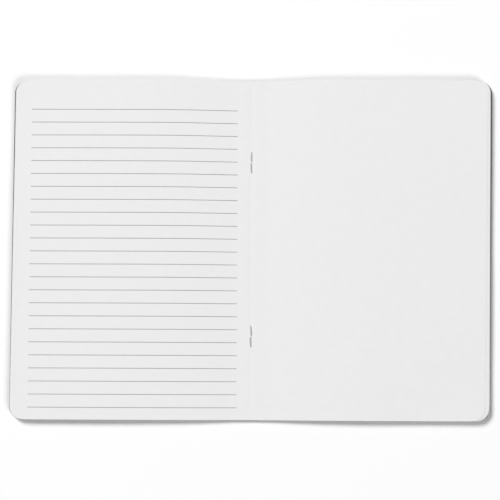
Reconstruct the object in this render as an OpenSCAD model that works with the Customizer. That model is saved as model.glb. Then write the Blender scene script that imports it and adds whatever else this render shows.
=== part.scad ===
// A stapled booklet that lies open at its centre spread, ruled on the left page and plain on the right.
// +X runs right across the spread, +Y to the head of the pages and +Z up.
// The origin is the middle of the fold, on the table.

/* [Page] */
// Width of one page, from the fold to the cover's fore-edge
page_w = 147; // [100:1:210]
// Height of the page, from head to tail
page_h = 210; // [160:1:297]
// Radius of the four outer corners
corner_r = 8; // [2:0.5:20]

/* [Leaves] */
// Leaves on each side of the fold, one sheet's half each
leaf_count = 12; // [6:1:20]
// Thickness of one leaf
leaf_t = 0.1; // [0.08:0.01:0.16]
// Air between the leaves of one side, summed, where they lie loosest
loose_h = 2.6; // [0.6:0.1:4]
// Air between the leaves of one side, summed, at the fore-edge
loose_edge_h = 2; // [0.1:0.1:3]
// Distance from the fold at which the leaves lie loosest
valley_w = 80; // [40:1:90]
// How far the centre leaf stops short of the cover at the fore-edge
creep = 2.2; // [0.4:0.1:3.5]

/* [Cover] */
// Thickness of the cover card
cover_t = 0.4; // [0.3:0.05:0.8]
// Distance from the fold at which the cover comes down to the table
tent_w = 12; // [6:1:25]
// Lift of the cover's fore-edge off the table
lift_h = 0.6; // [0.2:0.1:3]
// Distance from the fold at which the cover starts to lift
lift_from = 60; // [40:1:90]

/* [Ruling] */
// Most ruled lines on the page, counted up from the tail
line_count = 24; // [4:1:40]
// Distance from one line to the next
line_pitch = 8; // [5:0.5:9]
// Printed width of a line
line_w = 0.35; // [0.2:0.05:0.8]
// Thickness that stands for the ink
line_t = 0.03; // [0.02:0.01:0.06]
// Last line's distance from the tail
tail_margin = 7.5; // [6:0.5:12]
// Least distance from the head to the first line
head_margin = 17; // [9:0.5:40]
// The lines' distance from the centre leaf's fore-edge
fore_margin = 8.4; // [5:0.2:20]
// The lines' distance from the fold
fold_margin = 8.6; // [4:0.2:20]

/* [Staples] */
// Diameter of the staple wire
wire_d = 0.6; // [0.4:0.05:0.9]
// Length of the crown along the fold, over both legs
crown_l = 13.4; // [10:0.2:16]
// Length of each leg that is bent over on the centre spread
clench_l = 6.2; // [3:0.1:6.2]
// Inner radius of the wire's bends
bend_r = 0.2; // [0.1:0.05:0.4]
// How far a bent leg's tip leans off the fold
clench_lean = 0.25; // [0:0.05:0.3]
// Distance from head or tail to the middle of the nearer staple
staple_inset = 51.3; // [25:0.1:70]
// How deep the crown presses into the cover card
crown_press = 0.15; // [0:0.05:0.2]

/* [Clearances] */
// Gap between the two halves at the fold
fold_gap = 0.1; // [0.05:0.05:0.3]
// Gap all round the wire in its holes, and under its bent legs
wire_clear = 0.06; // [0.04:0.01:0.1]
// Gap between the crown and the table
table_clear = 0.05; // [0.02:0.01:0.2]

/* [Hidden] */
$fn = 64;
profile_steps = 28;    // straight lengths along a page's section
profile_power = 1.6;   // above 1, so that the lengths are short beside the fold
hull_fn = 40;          // sides of a corner's circle inside a hull
cut = 5;               // how far a cutting shape runs past what it cuts
wire_r = wire_d / 2;
groove_r = wire_r + wire_clear;
leg_hole_r = groove_r + bend_r * (1 - cos(45));    // wide enough for the inside of the wire's bend
crown_z = table_clear + wire_r;
fold_z = table_clear + wire_d - crown_press;
crease_z = fold_z + cover_t + leaf_count * leaf_t;
clench_z = crease_z + wire_clear + wire_r;
leaf_w = page_w - creep;
staple_y = page_h / 2 - staple_inset;
leg_y = crown_l / 2 - wire_r;
turn_r = bend_r + wire_r;
bent_run = clench_l - wire_r - turn_r;
lean_angle = asin(clench_lean / (bent_run + turn_r));
line_places = [for (i = [0:line_count - 1])
    let (y = tail_margin + i * line_pitch) if (y <= page_h - head_margin) y];
profile = [for (i = [0:profile_steps]) page_w * pow(i / profile_steps, profile_power)];
page_line = [for (x = profile) [x, page_z(x)]];
card_grey = [0.44, 0.43, 0.43];
paper_white = [0.95, 0.95, 0.95];
ink_grey = [0.5, 0.5, 0.5];
wire_grey = [0.66, 0.67, 0.69];

// 0 at t = 0 and 1 at t = 1, level at both ends
function ease(t) = let (c = min(1, max(0, t))) c * c * (3 - 2 * c);

// 0 at t = 0 and 1 at t = 1, steep at first and level at its end
function spring(t) = let (c = min(1, max(0, t))) 1 - (1 - c) * (1 - c);

// Height of the cover's underside above the table: up at the fold, down, and up again at the fore-edge
function under_z(x) = fold_z * (1 - ease(x / tent_w))
    + lift_h * pow(max(0, (x - lift_from) / (page_w - lift_from)), 2);

// Air in the leaves at a distance x from the fold
function loose_z(x) = loose_h * spring(x / valley_w)
    - (loose_h - loose_edge_h) * ease((x - valley_w) / (page_w - valley_w));

// Height of the cover's inside, and of the page that shows
function card_z(x) = under_z(x) + cover_t;
function page_z(x) = card_z(x) + leaf_count * leaf_t + loose_z(x);

// Plan of one half, from the fold to w, with its two outer corners rounded
module half_plan(w) {
    square_w = w - corner_r;
    translate([0, -page_h / 2]) square([square_w, page_h]);
    translate([0, corner_r - page_h / 2]) square([w, page_h - 2 * corner_r]);
    for (side = [-1, 1])
        translate([square_w, side * (page_h / 2 - corner_r)]) circle(corner_r);
}

// A section in X and Z drawn out along Y, past head and tail
module along_page(points, length) {
    rotate([90, 0, 0]) linear_extrude(height = length, center = true) polygon(points);
}

// What both staples take out of the card and paper at the fold
module staple_holes() {
    for (at = [-1, 1]) translate([0, at * staple_y, 0]) {
        for (side = [-1, 1])
            translate([0, side * leg_y, -cut]) cylinder(r = leg_hole_r, h = 2 * cut + crease_z);
        translate([0, 0, crown_z]) rotate([90, 0, 0])
            cylinder(r = groove_r, h = 2 * leg_y, center = true);
    }
}

// Right half of the folded cover card
module cover_half() {
    lower = [for (x = profile) [max(x, fold_gap / 2), under_z(x)]];
    upper = [for (i = [profile_steps:-1:0]) [max(profile[i], fold_gap / 2), card_z(profile[i])]];
    difference() {
        intersection() {
            along_page(concat(lower, upper), page_h + cut);
            translate([0, 0, -cut]) linear_extrude(height = 4 * cut) half_plan(page_w);
        }
        staple_holes();
    }
}

// Right half of the leaves. Its fore-edge leans in, because inner sheets of a folded book show less width.
module leaves_half() {
    lower = [for (x = profile) [max(x, fold_gap / 2), card_z(x)]];
    upper = [for (i = [profile_steps:-1:0]) [max(profile[i], fold_gap / 2), page_z(profile[i])]];
    difference() {
        intersection() {
            along_page(concat(lower, upper), page_h + cut);
            hull($fn = hull_fn) {
                translate([0, 0, -cut]) linear_extrude(height = cut + card_z(page_w)) half_plan(page_w);
                translate([0, 0, page_z(page_w)]) linear_extrude(height = cut) half_plan(leaf_w);
            }
        }
        staple_holes();
    }
}

// One ruled line: a thin band that lies on the page from the fold margin to the fore-edge margin
module ruled_line() {
    from = fold_margin;
    to = leaf_w - fore_margin;
    inside = [for (x = profile) if (x > from && x < to) x];
    xs = concat([from], inside, [to]);
    foot = [for (x = xs) [x, lookup(x, page_line)]];
    top = [for (i = [len(xs) - 1:-1:0]) [xs[i], foot[i][1] + line_t]];
    along_page(concat(foot, top), line_w);
}

// Quarter bend of wire in the plane X = 0, from travel along +Y to travel along +Z, starting at the origin
module wire_bend() {
    translate([0, 0, turn_r]) rotate([0, 90, 0])
        rotate_extrude(angle = 90) translate([turn_r, 0]) circle(wire_r);
}

// One leg of a staple, on the +Y side of its middle: half the crown, up through the fold, and bent over.
// lean turns the bent end off the fold, in degrees.
module staple_leg(lean) {
    rise = clench_z - crown_z - 2 * turn_r;
    translate([0, 0, crown_z]) {
        rotate([-90, 0, 0]) cylinder(r = wire_r, h = leg_y - turn_r);
        translate([0, leg_y - turn_r, 0]) wire_bend();
        translate([0, leg_y, turn_r]) cylinder(r = wire_r, h = rise);
    }
    translate([0, leg_y, clench_z - turn_r]) rotate([0, 0, lean]) {
        translate([0, -turn_r, turn_r]) mirror([0, 0, 1]) wire_bend();
        translate([0, -turn_r, turn_r]) rotate([90, 0, 0]) cylinder(r = wire_r, h = bent_run);
    }
}

// A whole staple about its own middle: crown under the cover, legs through the fold and bent inwards on top
module staple(upper_lean, lower_lean) {
    color(wire_grey) {
        staple_leg(upper_lean * lean_angle);
        mirror([0, 1, 0]) staple_leg(lower_lean * lean_angle);
    }
}

module back_cover() {
    color(card_grey) cover_half();
}

module front_cover() {
    color(card_grey) mirror([1, 0, 0]) cover_half();
}

module right_pages() {
    color(paper_white) leaves_half();
}

module left_pages() {
    color(paper_white) mirror([1, 0, 0]) leaves_half();
}

module ruled_lines() {
    color(ink_grey) mirror([1, 0, 0]) for (y = line_places)
        translate([0, y - page_h / 2, 0]) ruled_line();
}

module upper_staple() {
    translate([0, staple_y, 0]) staple(0, -1);
}

module lower_staple() {
    translate([0, -staple_y, 0]) staple(1, -1);
}

front_cover();
back_cover();
left_pages();
right_pages();
ruled_lines();
upper_staple();
lower_staple();
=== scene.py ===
import math
import random

import bmesh
import bpy
from mathutils import Euler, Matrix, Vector


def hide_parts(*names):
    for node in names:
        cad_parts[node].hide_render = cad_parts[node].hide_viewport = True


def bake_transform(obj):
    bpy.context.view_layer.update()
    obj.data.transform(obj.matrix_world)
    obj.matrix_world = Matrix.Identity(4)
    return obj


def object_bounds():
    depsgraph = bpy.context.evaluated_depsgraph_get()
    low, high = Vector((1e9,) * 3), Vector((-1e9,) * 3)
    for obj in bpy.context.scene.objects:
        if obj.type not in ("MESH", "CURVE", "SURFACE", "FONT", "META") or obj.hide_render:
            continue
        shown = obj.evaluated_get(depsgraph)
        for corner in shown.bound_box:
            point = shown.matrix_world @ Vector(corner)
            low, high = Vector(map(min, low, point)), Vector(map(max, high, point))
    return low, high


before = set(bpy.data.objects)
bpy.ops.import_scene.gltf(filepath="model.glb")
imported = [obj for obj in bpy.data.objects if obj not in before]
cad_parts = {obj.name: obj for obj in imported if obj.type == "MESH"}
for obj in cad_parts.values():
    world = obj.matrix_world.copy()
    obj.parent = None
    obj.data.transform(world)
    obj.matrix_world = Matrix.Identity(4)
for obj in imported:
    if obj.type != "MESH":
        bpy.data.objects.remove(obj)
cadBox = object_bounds()
print("stage: frame loaded")

# The scene is in metres. The booklet's sizes and patterns are in millimetres, and the studio's in metres.
mm = 0.001


# 0 at t = 0 and 1 at t = 1, level at both ends
def ease(t):
    t = min(1.0, max(0.0, t))
    return t * t * (3 - 2 * t)


# 0 at t = 0 and 1 at t = 1, steep at first and level at its end
def spring(t):
    t = min(1.0, max(0.0, t))
    return 1 - (1 - t) ** 2


# Materials. Hex colours are sRGB.

def toLinear(hexCode):
    channels = [int(hexCode[i:i + 2], 16) / 255 for i in (1, 3, 5)]
    return [c / 12.92 if c <= 0.04045 else ((c + 0.055) / 1.055) ** 2.4 for c in channels] + [1.0]


# A whole number as a key is the place of an input. On a colour Mix node 0 is the factor, 6 and 7 are the
# two colours, and output 2 is the result.
def addNode(tree, kind, settings=None, links=None):
    node = tree.nodes.new(kind)
    for key, value in (settings or {}).items():
        if isinstance(key, int) or key in node.inputs:
            node.inputs[key].default_value = value
        else:
            setattr(node, key, value)
    for key, source in (links or {}).items():
        tree.links.new(source, node.inputs[key])
    return node


def newMaterial(name, roughness, specular=0.5):
    material = bpy.data.materials.new(name)
    material.use_nodes = True
    tree = material.node_tree
    shader = tree.nodes["Principled BSDF"]
    shader.inputs["Roughness"].default_value = roughness
    shader.inputs["Specular IOR Level"].default_value = specular
    return material, tree, shader


# Uncoated offset paper, machine made and lightly calendered: matt, a faint cloudiness where the fibres
# lie denser, and a fine tooth that only a raking light shows
paper = {
    "base": "#EFEEEF",
    "cloud": "#EAE9EA",
    "flocSize": 5.0,         # fibre clouds
    "flocDetail": 4.0,
    "flocRoughness": 0.6,
    "toothSize": 0.35,       # felt marks, drawn coarser than the real 0.1 mm so that they show
    "toothDetail": 2.0,
    "toothDepth": 0.012,
    "roughness": 0.78,
    "specular": 0.35,
}

# Uncoated cover card, dyed grey right through and pressed from several plies: a coarser tooth than the
# pages' and longer fibre clouds
card = {
    "base": "#716F6E",
    "cloud": "#666463",
    "flocSize": 9.0,
    "flocDetail": 5.0,
    "flocRoughness": 0.65,
    "toothSize": 0.7,
    "toothDetail": 3.0,
    "toothDepth": 0.03,
    "roughness": 0.82,
    "specular": 0.3,
}

# Offset-litho ruling in grey ink on that paper: the ink soaks in, so it stays as matt as the sheet
ruling = {
    "count": 24,
    "pitch": 8.0,
    "tailMargin": 7.5,
    "foldMargin": 8.6,
    "foreMargin": 8.4,
    "width": 0.36,
    "soft": 0.07,            # how far the ink feathers into the fibres
    "ink": "#757476",
    "mottleSize": 0.4,       # patches where the plate gave more or less ink
    "mottleDetail": 3.0,
    "thinnest": 0.75,        # how much ink there is in those patches, 1 being full colour
    "thickest": 1.05,
}


# A pattern's place, in millimetres on the sheet as it was printed
def sheetPlace(tree):
    layout = addNode(tree, "ShaderNodeUVMap", {"uv_map": "sheet"})
    place = addNode(tree, "ShaderNodeVectorMath", {"operation": "SCALE", "Scale": 1 / mm},
                    {"Vector": layout.outputs["UV"]})
    return place.outputs["Vector"]


# Pressed fibres: their clouds give the colour, and the felt's tooth the relief
def pressFibres(tree, shader, look, place):
    flocs = addNode(tree, "ShaderNodeTexNoise",
                    {"Scale": 1 / look["flocSize"], "Detail": look["flocDetail"],
                     "Roughness": look["flocRoughness"]},
                    {"Vector": place})
    shade = addNode(tree, "ShaderNodeMix",
                    {"data_type": "RGBA", 6: toLinear(look["cloud"]), 7: toLinear(look["base"])},
                    {0: flocs.outputs["Fac"]})
    tooth = addNode(tree, "ShaderNodeTexNoise",
                    {"Scale": 1 / look["toothSize"], "Detail": look["toothDetail"]},
                    {"Vector": place})
    bump = addNode(tree, "ShaderNodeBump", {"Distance": look["toothDepth"] * mm},
                   {"Height": tooth.outputs["Fac"]})
    tree.links.new(bump.outputs["Normal"], shader.inputs["Normal"])
    return shade.outputs[2]


def makePlainPaper():
    material, tree, shader = newMaterial("uncoatedOffsetPaper", paper["roughness"], paper["specular"])
    bare = pressFibres(tree, shader, paper, sheetPlace(tree))
    tree.links.new(bare, shader.inputs["Base Color"])
    return material


def makeCard():
    material, tree, shader = newMaterial("uncoatedCoverCard", card["roughness"], card["specular"])
    dyed = pressFibres(tree, shader, card, sheetPlace(tree))
    tree.links.new(dyed, shader.inputs["Base Color"])
    return material


def makeRuledPaper():
    material, tree, shader = newMaterial("lithoRuledPaper", paper["roughness"], paper["specular"])
    place = sheetPlace(tree)
    bare = pressFibres(tree, shader, paper, place)
    axes = addNode(tree, "ShaderNodeSeparateXYZ", links={"Vector": place})

    # a line's section, by the distance to the nearest line, counted up from the last line
    lastLine = ruling["tailMargin"] - spread["pageHeight"] / 2
    fromLast = addNode(tree, "ShaderNodeMath", {"operation": "SUBTRACT", 1: lastLine},
                       {0: axes.outputs["Y"]})
    offLine = addNode(tree, "ShaderNodeMath", {"operation": "PINGPONG", 1: ruling["pitch"] / 2},
                      {0: fromLast.outputs[0]})
    section = addNode(tree, "ShaderNodeMapRange",
                      {"interpolation_type": "SMOOTHSTEP",
                       "From Min": ruling["width"] / 2 + ruling["soft"],
                       "From Max": ruling["width"] / 2 - ruling["soft"]},
                      {"Value": offLine.outputs[0]})

    # 1 in the rows that hold a line, and 1 between a line's two ends
    middleRow = (ruling["count"] - 1) * ruling["pitch"] / 2
    halfRows = ruling["count"] * ruling["pitch"] / 2
    inRows = addNode(tree, "ShaderNodeMath", {"operation": "COMPARE", 1: middleRow, 2: halfRows},
                     {0: fromLast.outputs[0]})
    lineStart = ruling["foldMargin"]
    lineEnd = spread["pageWidth"] - sheets["creep"] - ruling["foreMargin"]
    lineMiddle = (lineStart + lineEnd) / 2
    fromFold = addNode(tree, "ShaderNodeMath", {"operation": "ABSOLUTE"}, {0: axes.outputs["X"]})
    inEnds = addNode(tree, "ShaderNodeMath",
                     {"operation": "COMPARE", 1: lineMiddle, 2: (lineEnd - lineStart) / 2},
                     {0: fromFold.outputs[0]})

    mottle = addNode(tree, "ShaderNodeTexNoise",
                     {"Scale": 1 / ruling["mottleSize"], "Detail": ruling["mottleDetail"]},
                     {"Vector": place})
    density = addNode(tree, "ShaderNodeMapRange",
                      {"To Min": ruling["thinnest"], "To Max": ruling["thickest"]},
                      {"Value": mottle.outputs["Fac"]})
    inked = section.outputs["Result"]
    for share in (density.outputs["Result"], inRows.outputs[0], inEnds.outputs[0]):
        inked = addNode(tree, "ShaderNodeMath", {"operation": "MULTIPLY"}, {0: inked, 1: share}).outputs[0]
    printed = addNode(tree, "ShaderNodeMix", {"data_type": "RGBA", 7: toLinear(ruling["ink"])},
                      {0: inked, 6: bare})
    tree.links.new(printed.outputs[2], shader.inputs["Base Color"])
    return material


# Guillotined paper edge: the blade leaves cut fibre ends, a little greyer and rougher than the sheet's
# face; the grey is darkened further as painted shade for the gaps between the stacked leaves
trim = {
    # painted shade: both greys are darker than cut paper is, standing for the shade between the leaves
    "grey": "#BDBCBC",
    "pale": "#D8D7D7",
    "fibreSize": 0.625,
    "fibreDetail": 3.0,
    "roughness": 0.9,
    "specular": 0.25,
}


def makeShadedCutEdge():
    material, tree, shader = newMaterial("guillotinedEdgePaintedShade", trim["roughness"], trim["specular"])
    spot = addNode(tree, "ShaderNodeTexCoord")
    place = addNode(tree, "ShaderNodeVectorMath", {"operation": "SCALE", "Scale": 1 / mm},
                    {"Vector": spot.outputs["Object"]})
    fibres = addNode(tree, "ShaderNodeTexNoise",
                     {"Scale": 1 / trim["fibreSize"], "Detail": trim["fibreDetail"]},
                     {"Vector": place.outputs["Vector"]})
    shade = addNode(tree, "ShaderNodeMix",
                    {"data_type": "RGBA", 6: toLinear(trim["grey"]), 7: toLinear(trim["pale"])},
                    {0: fibres.outputs["Fac"]})
    tree.links.new(shade.outputs[2], shader.inputs["Base Color"])
    return material


# Galvanised stapling wire, drawn through a die: mid-grey zinc with fine draw lines along the wire
wire = {
    "zinc": "#B4B6B9",
    "dull": "#8E9094",
    "drawLine": 0.08,
    "drawStretch": 0.08,     # a draw line's width over its length
    "drawDetail": 2.0,
    "drawDepth": 0.004,
    "smoothest": 0.26,
    "roughest": 0.44,
}


def makeWire():
    meanRoughness = (wire["smoothest"] + wire["roughest"]) / 2
    material, tree, shader = newMaterial("drawnGalvanisedWire", meanRoughness)
    shader.inputs["Metallic"].default_value = 1.0
    spot = addNode(tree, "ShaderNodeTexCoord")
    place = addNode(tree, "ShaderNodeMapping", {"Scale": (1 / mm, wire["drawStretch"] / mm, 1 / mm)},
                    {"Vector": spot.outputs["Object"]})
    lines = addNode(tree, "ShaderNodeTexNoise",
                    {"Scale": 1 / wire["drawLine"], "Detail": wire["drawDetail"]},
                    {"Vector": place.outputs["Vector"]})
    shade = addNode(tree, "ShaderNodeMix",
                    {"data_type": "RGBA", 6: toLinear(wire["dull"]), 7: toLinear(wire["zinc"])},
                    {0: lines.outputs["Fac"]})
    rough = addNode(tree, "ShaderNodeMapRange", {"To Min": wire["smoothest"], "To Max": wire["roughest"]},
                    {"Value": lines.outputs["Fac"]})
    bump = addNode(tree, "ShaderNodeBump", {"Distance": wire["drawDepth"] * mm},
                   {"Height": lines.outputs["Fac"]})
    tree.links.new(shade.outputs[2], shader.inputs["Base Color"])
    tree.links.new(rough.outputs["Result"], shader.inputs["Roughness"])
    tree.links.new(bump.outputs["Normal"], shader.inputs["Normal"])
    return material


# Folded sheets. The cover card and every sheet of pages are made in one way, out from the fold in columns.

# Such a booklet isn't trimmed dead square, and the camera sees that, so the fore-edges lean
spread = {
    "pageWidth": round(cadBox[1][0] / mm, 3),
    "pageHeight": round((cadBox[1][1] - cadBox[0][1]) / mm, 3),
    "cornerRadius": 8.0,
    "cornerSteps": 8,
    "rows": 26,              # lengths from head to tail
    "foldZone": 4.2,         # half-width of the finely stepped strip at the fold
    "foldSteps": 12,
    "columnGrowth": 1.09,    # each column out from the fold is this much wider than the last
    "skew": 0.86,            # how far the fore-edges lean to +X at the head and to -X at the tail
    "pinch": 0.004,          # the fold draws the paper in along its length, mostly from the head
    "pinchReach": 55.0,
    "pinchTo": -72.0,        # the place along the fold that stays where it is
    "bendHalf": 3.2,         # half-width of the strip along the fold in which a real booklet bends as it shuts
    "smoothAngle": 35.0,     # degrees past which an edge stays sharp
}

cover = {
    "thickness": 0.4,
    "headOverhang": 1.0,     # how far its fore-edges stand past the sheets' at the head
    "tailOverhang": 0.5,
    "foldHeight": 0.5,       # the card tents up over the staples' crowns
    "tentWidth": 12.0,
    "liftHeight": 0.6,       # the fore-edges spring up off the table
    "liftFrom": 60.0,
}

sheets = {
    "count": 12,
    "thickness": 0.1,
    "air": 2.6,              # air between the leaves of one side, summed, where they lie loosest
    "valleyWidth": 80.0,     # how far out from the fold that is
    "edgeAir": 2.0,          # and the air at the fore-edge
    "uneven": 0.45,          # how unlike the gaps between the leaves are
    # places where the stack lies closer: x, y, how deep at the top leaf, and how far round
    "dips": ((-141, 62, 0.35, 42), (-139, -38, 0.25, 36), (-96, 104, 0.3, 40), (-60, -105, 0.2, 36),
             (143, 18, 0.3, 40), (140, -82, 0.35, 38), (84, 105, 0.25, 38), (101, -104, 0.3, 36)),
    "creep": 2.2,            # how much narrower the centre sheet's leaves are than the outer ones
    "wedge": 0.5,            # and how much more so at the tail than at half height
    "creepPower": 18.0,      # so high that the outer sheets' edges lie flush in a bunch
    "stray": 0.1,            # how unevenly the trimmed edges lie
    "fan": 0.06,             # how far a leaf's edge leans off the others'
    "edgeRise": 0.5,         # a face whose normal rises less than this is on the trimmed edge
    "seed": 7,
}


# Height of the cover's underside at a distance x from the fold
def cardHeight(x):
    lift = max(0.0, (x - cover["liftFrom"]) / (spread["pageWidth"] - cover["liftFrom"]))
    return cover["foldHeight"] * (1 - ease(x / cover["tentWidth"])) + cover["liftHeight"] * lift ** 2


def airHeight(x):
    fall = ease((x - sheets["valleyWidth"]) / (spread["pageWidth"] - sheets["valleyWidth"]))
    return sheets["air"] * spring(x / sheets["valleyWidth"]) - (sheets["air"] - sheets["edgeAir"]) * fall


# share is the part of the air that lies below the leaf
def leafHeight(number, share):
    def height(x):
        lowest = cardHeight(x) + cover["thickness"]
        return lowest + number * sheets["thickness"] + airHeight(x) * share
    return height


# A column's length beside a flat sheet's
def drawnIn(x):
    return 1 - spread["pinch"] * ease(1 - x / spread["pinchReach"])


def columnPlaces(halfWidth):
    places = [spread["foldZone"] * i / spread["foldSteps"] for i in range(1, spread["foldSteps"] + 1)]
    step = places[0]
    while places[-1] + 2 * step * spread["columnGrowth"] < halfWidth:
        step *= spread["columnGrowth"]
        places.append(places[-1] + step)
    return places + [halfWidth]


# Selects just those of a sheet's "verts" or "edges" that pass the test
def selectParts(sheet, kind, test):
    mesh = bmesh.from_edit_mesh(sheet.data)
    bpy.ops.mesh.select_all(action="DESELECT")
    bpy.context.tool_settings.mesh_select_mode = (kind == "verts", kind == "edges", False)
    for part in getattr(mesh, kind):
        part.select_set(test(part))
    bmesh.update_edit_mesh(sheet.data)


# A strip as wide as the first column, just right of the fold, cut into rows
def cutStrip(name, width, heightAt):
    bpy.ops.object.select_all(action="DESELECT")
    bpy.ops.mesh.primitive_plane_add(size=1)
    sheet = bpy.context.object
    sheet.name = sheet.data.name = name
    bpy.ops.object.mode_set(mode="EDIT")
    bpy.ops.mesh.select_all(action="SELECT")
    bpy.ops.transform.resize(value=(width * mm, spread["pageHeight"] * mm, 1))
    bpy.ops.transform.translate(value=(width / 2 * mm, 0, heightAt(0) * mm))
    for row in range(1, spread["rows"]):
        bpy.ops.mesh.select_all(action="SELECT")
        y = (row / spread["rows"] - 0.5) * spread["pageHeight"]
        bpy.ops.mesh.bisect(plane_co=(0, y * mm, 0), plane_no=(0, 1, 0))
    bpy.ops.mesh.select_all(action="SELECT")
    bpy.ops.transform.resize(value=(1, drawnIn(0), 1), center_override=(0, spread["pinchTo"] * mm, 0))
    rise = heightAt(width) - heightAt(0)
    selectParts(sheet, "edges", lambda edge: all(vert.co.x > width / 2 * mm for vert in edge.verts))
    bpy.ops.transform.translate(value=(0, 0, rise * mm))
    return sheet


# Draws columns out of the edge at x, each to its own height, length and lean. side is 1 right of the fold
# and -1 left of it.
def drawColumns(sheet, side, x, places, lean, heightAt):
    nearEnough = 0.001 * mm
    selectParts(sheet, "edges",
                lambda edge: all(abs(vert.co.x - x * mm) < nearEnough for vert in edge.verts))
    for place in places:
        rise = heightAt(place) - heightAt(x)
        turn = lean / (spread["pageHeight"] / 2) * (place - x) / spread["pageWidth"]
        bpy.ops.mesh.extrude_region_move(
            TRANSFORM_OT_translate={"value": (side * (place - x) * mm, 0, rise * mm)})
        bpy.ops.transform.resize(value=(1, drawnIn(place) / drawnIn(x), 1),
                                 center_override=(side * place * mm, spread["pinchTo"] * mm, 0))
        bpy.ops.transform.rotate(value=turn, orient_axis="Z",
                                 center_override=(side * place * mm, 0, heightAt(place) * mm))
        x = place


# Lets a loose leaf sag a little here and there. looseness is 1 for the top leaf and less for lower ones.
def sag(sheet, looseness):
    for x, y, depth, reach in sheets["dips"]:
        lowest = min(bmesh.from_edit_mesh(sheet.data).verts,
                     key=lambda vert: (vert.co.x / mm - x) ** 2 + (vert.co.y / mm - y) ** 2)
        selectParts(sheet, "verts", lambda vert: vert == lowest)
        bpy.ops.transform.translate(value=(0, 0, -depth * looseness * mm), use_proportional_edit=True,
                                    proportional_edit_falloff="SMOOTH", proportional_size=reach * mm)


# Rounds the corners of the two fore-edges, as a die does
def roundCorners(sheet):
    selectParts(sheet, "verts", lambda vert: len(vert.link_edges) == 2)
    bpy.ops.mesh.bevel(affect="VERTICES", offset=spread["cornerRadius"] * mm,
                       segments=spread["cornerSteps"])


# Turns the faces up and lays the sheet's thickness on them
def thicken(sheet, thickness):
    bpy.ops.mesh.select_all(action="SELECT")
    bpy.ops.mesh.normals_make_consistent(inside=False)
    bpy.ops.object.mode_set(mode="OBJECT")
    if sum(face.normal.z for face in sheet.data.polygons) < 0:
        bpy.ops.object.mode_set(mode="EDIT")
        bpy.ops.mesh.flip_normals()
        bpy.ops.object.mode_set(mode="OBJECT")
    solid = sheet.modifiers.new("thickness", "SOLIDIFY")
    solid.thickness = thickness * mm
    solid.offset = 1
    bpy.ops.object.modifier_apply(modifier=solid.name)
    bpy.ops.object.shade_smooth_by_angle(angle=math.radians(spread["smoothAngle"]))


# Each point's place on the sheet as it was printed, before the fold drew it in and the trim leaned
def layOut(sheet, leans):
    flat = sheet.data.uv_layers.get("sheet") or sheet.data.uv_layers.new(name="sheet")
    for loop in sheet.data.loops:
        point = sheet.data.vertices[loop.vertex_index].co / mm
        y = spread["pinchTo"] + (point.y - spread["pinchTo"]) / drawnIn(abs(point.x))
        lean = leans[int(point.x > 0)] * y / (spread["pageHeight"] / 2) * abs(point.x) / spread["pageWidth"]
        flat.data[loop.index].uv = ((point.x - lean) * mm, y * mm)


# halfWidths and leans are for the left and the right. A lean is how far that fore-edge goes to +X at the
# head, and as far to -X at the tail.
def foldSheet(name, thickness, halfWidths, leans, heightAt, looseness=0.0):
    left, right = (columnPlaces(width) for width in halfWidths)
    sheet = cutStrip(name, right[0], heightAt)
    drawColumns(sheet, 1, right[0], right[1:], leans[1], heightAt)
    drawColumns(sheet, -1, 0.0, left, leans[0], heightAt)
    if looseness:
        sag(sheet, looseness)
    roundCorners(sheet)
    thicken(sheet, thickness)
    layOut(sheet, leans)
    return sheet


plainPaper = makePlainPaper()
ruledPaper = makeRuledPaper()
shadedCutEdge = makeShadedCutEdge()
coverCard = makeCard()
wireSteel = makeWire()
print("stage: materials mixed")


# The cover's fore-edges lean as the sheets' do, and by the slant more outwards at the head
def makeCover():
    overhang = (cover["headOverhang"] + cover["tailOverhang"]) / 2
    slant = (cover["headOverhang"] - cover["tailOverhang"]) / 2
    halfWidths = (spread["pageWidth"] + overhang,) * 2
    leans = (spread["skew"] - slant, spread["skew"] + slant)
    coverSheet = foldSheet("cover", cover["thickness"], halfWidths, leans, cardHeight)
    coverSheet.data.materials.append(coverCard)
    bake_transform(coverSheet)
    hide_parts("front_cover", "back_cover")


# Left-hand pages are ruled, right-hand pages are plain, and the trimmed edge shows its cut fibres in a grey
# that holds painted shade
def printLeaf(leaf):
    for material in (plainPaper, ruledPaper, shadedCutEdge):
        leaf.data.materials.append(material)
    for face in leaf.data.polygons:
        trimmed = abs(face.normal.z) < sheets["edgeRise"]
        leftHand = (face.normal.z > 0) == (face.center.x < 0)    # once the book is open at that page
        face.material_index = 2 if trimmed else int(leftHand)


# The sheets, from the outermost to the centre one, take the place of the CAD's leaves and ruling
def makeSheets():
    draw = random.Random(sheets["seed"])
    gaps = [1 + draw.uniform(-1, 1) * sheets["uneven"] for number in range(sheets["count"])]
    for number in range(sheets["count"]):
        creep = sheets["creep"] * ((number + 1) / sheets["count"]) ** sheets["creepPower"]
        strays = [draw.uniform(-1, 1) * sheets["stray"] for side in range(2)]
        halfWidths = [spread["pageWidth"] - creep + stray for stray in strays]
        askew = spread["skew"] + draw.uniform(-1, 1) * sheets["fan"]
        wedge = sheets["wedge"] * creep / sheets["creep"]
        share = sum(gaps[:number + 1]) / sum(gaps)
        leaf = foldSheet(f"sheet{number + 1:02d}", sheets["thickness"], halfWidths,
                         (askew - wedge, askew + wedge), leafHeight(number, share), share)
        printLeaf(leaf)
        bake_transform(leaf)
    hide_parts("left_pages", "right_pages", "ruled_lines")


# The staples keep their CAD shapes and get the wire's look
def finishStaples():
    for name in ("upper_staple", "lower_staple"):
        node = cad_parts[name]
        node.data.materials.clear()
        node.data.materials.append(wireSteel)


makeCover()
print("stage: cover folded")
makeSheets()
print("stage: sheets folded")
finishStaples()
print("stage: staples finished")


# Table, light and camera

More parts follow.
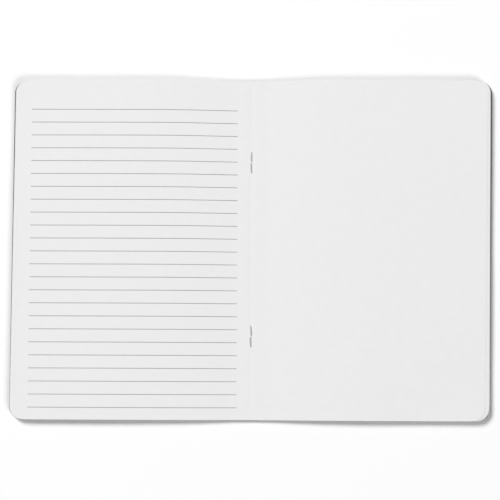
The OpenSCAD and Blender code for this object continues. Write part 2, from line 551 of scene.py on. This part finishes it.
studio = {
    "tableSize": 4.0,
    "tableColour": "#FDFDFD",
    "tableBounce": "#B8B8B8",    # the table's colour for the light that it throws back at the booklet
    "tableRoughness": 0.9,
    "tableGlow": 0.02,           # lifts the lit table to plain white for the camera and keeps the shadow
    "lampDistance": 7.0,
    "sky": 0.05,                 # this and the lamps' shares of the light on a level page add to about 1
}

# azimuth is in degrees from +X, and elevation in degrees from the table
lamps = {
    "key": {"share": 0.67, "azimuth": 133.0, "elevation": 44.0, "size": 3.2},
    "fill": {"share": 0.27, "azimuth": -48.0, "elevation": 38.0, "size": 3.5},
}

camera = {
    "distance": 1.2,
    "tiltTail": 4.2,             # degrees off straight down, towards the tail
    "tiltRight": 0.88,
    "roll": 0.252,
    "frameWidth": 307.8,         # what the picture spans at the pages, in mm
    "sensor": 36.0,
    "aim": (-0.68, -0.5, 3.5),   # mm
}


# 1 for what the camera sees straight or in a shiny surface, and 0 for light that bounces on
def seenByCamera(tree):
    path = addNode(tree, "ShaderNodeLightPath")
    seen = addNode(tree, "ShaderNodeMath", {"operation": "MAXIMUM"},
                   {0: path.outputs["Is Camera Ray"], 1: path.outputs["Is Glossy Ray"]})
    return seen.outputs[0]


def makeTable():
    bpy.ops.object.select_all(action="DESELECT")
    bpy.ops.mesh.primitive_plane_add(size=studio["tableSize"])
    table = bpy.context.object
    table.name = "table"
    material, tree, shader = newMaterial("mattWhiteTable", studio["tableRoughness"], 0.0)
    seen = seenByCamera(tree)
    colour = addNode(tree, "ShaderNodeMix",
                     {"data_type": "RGBA", 6: toLinear(studio["tableBounce"]),
                      7: toLinear(studio["tableColour"])},
                     {0: seen})
    tree.links.new(colour.outputs[2], shader.inputs["Base Color"])
    glow = addNode(tree, "ShaderNodeMath", {"operation": "MULTIPLY", 1: studio["tableGlow"]}, {0: seen})
    shader.inputs["Emission Color"].default_value = (1, 1, 1, 1)
    tree.links.new(glow.outputs[0], shader.inputs["Emission Strength"])
    table.data.materials.append(material)


def makeSky():
    world = bpy.data.worlds.new("softbox")
    bpy.context.scene.world = world
    world.use_nodes = True
    background = world.node_tree.nodes["Background"]
    background.inputs["Color"].default_value = (1, 1, 1, 1)
    strength = addNode(world.node_tree, "ShaderNodeMapRange", {"To Min": studio["sky"], "To Max": 1.0},
                       {"Value": seenByCamera(world.node_tree)})
    world.node_tree.links.new(strength.outputs["Result"], background.inputs["Strength"])


# A disc lamp whose light on a level page comes to its share
def makeLamp(name, lamp):
    azimuth, elevation = math.radians(lamp["azimuth"]), math.radians(lamp["elevation"])
    light = bpy.data.lights.new(name, "AREA")
    light.shape = "DISK"
    light.size = lamp["size"]
    reach = studio["lampDistance"] ** 2 + (lamp["size"] / 2) ** 2
    light.energy = lamp["share"] * math.pi ** 2 * reach / math.sin(elevation)
    holder = bpy.data.objects.new(name, light)
    bpy.context.scene.collection.objects.link(holder)
    towards = Vector((math.cos(azimuth), math.sin(azimuth), math.tan(elevation))).normalized()
    holder.location = towards * studio["lampDistance"]
    holder.rotation_euler = towards.to_track_quat("Z", "Y").to_euler()


def makeCamera():
    data = bpy.data.cameras.new("overhead")
    data.sensor_width = camera["sensor"]
    data.lens = camera["sensor"] * camera["distance"] / (camera["frameWidth"] * mm)
    rig = bpy.data.objects.new("overhead", data)
    bpy.context.scene.collection.objects.link(rig)
    tilt = Euler((math.radians(camera["tiltTail"]), math.radians(camera["tiltRight"]), 0))
    roll = Euler((0, 0, math.radians(camera["roll"])))
    look = tilt.to_quaternion() @ roll.to_quaternion()
    rig.location = Vector(camera["aim"]) * mm + look @ Vector((0, 0, camera["distance"]))
    rig.rotation_euler = look.to_euler()
    bpy.context.scene.camera = rig


makeTable()
makeSky()
for name, lamp in lamps.items():
    makeLamp(name, lamp)
makeCamera()
bpy.context.scene.view_settings.view_transform = "Standard"
print("stage: light and camera set")
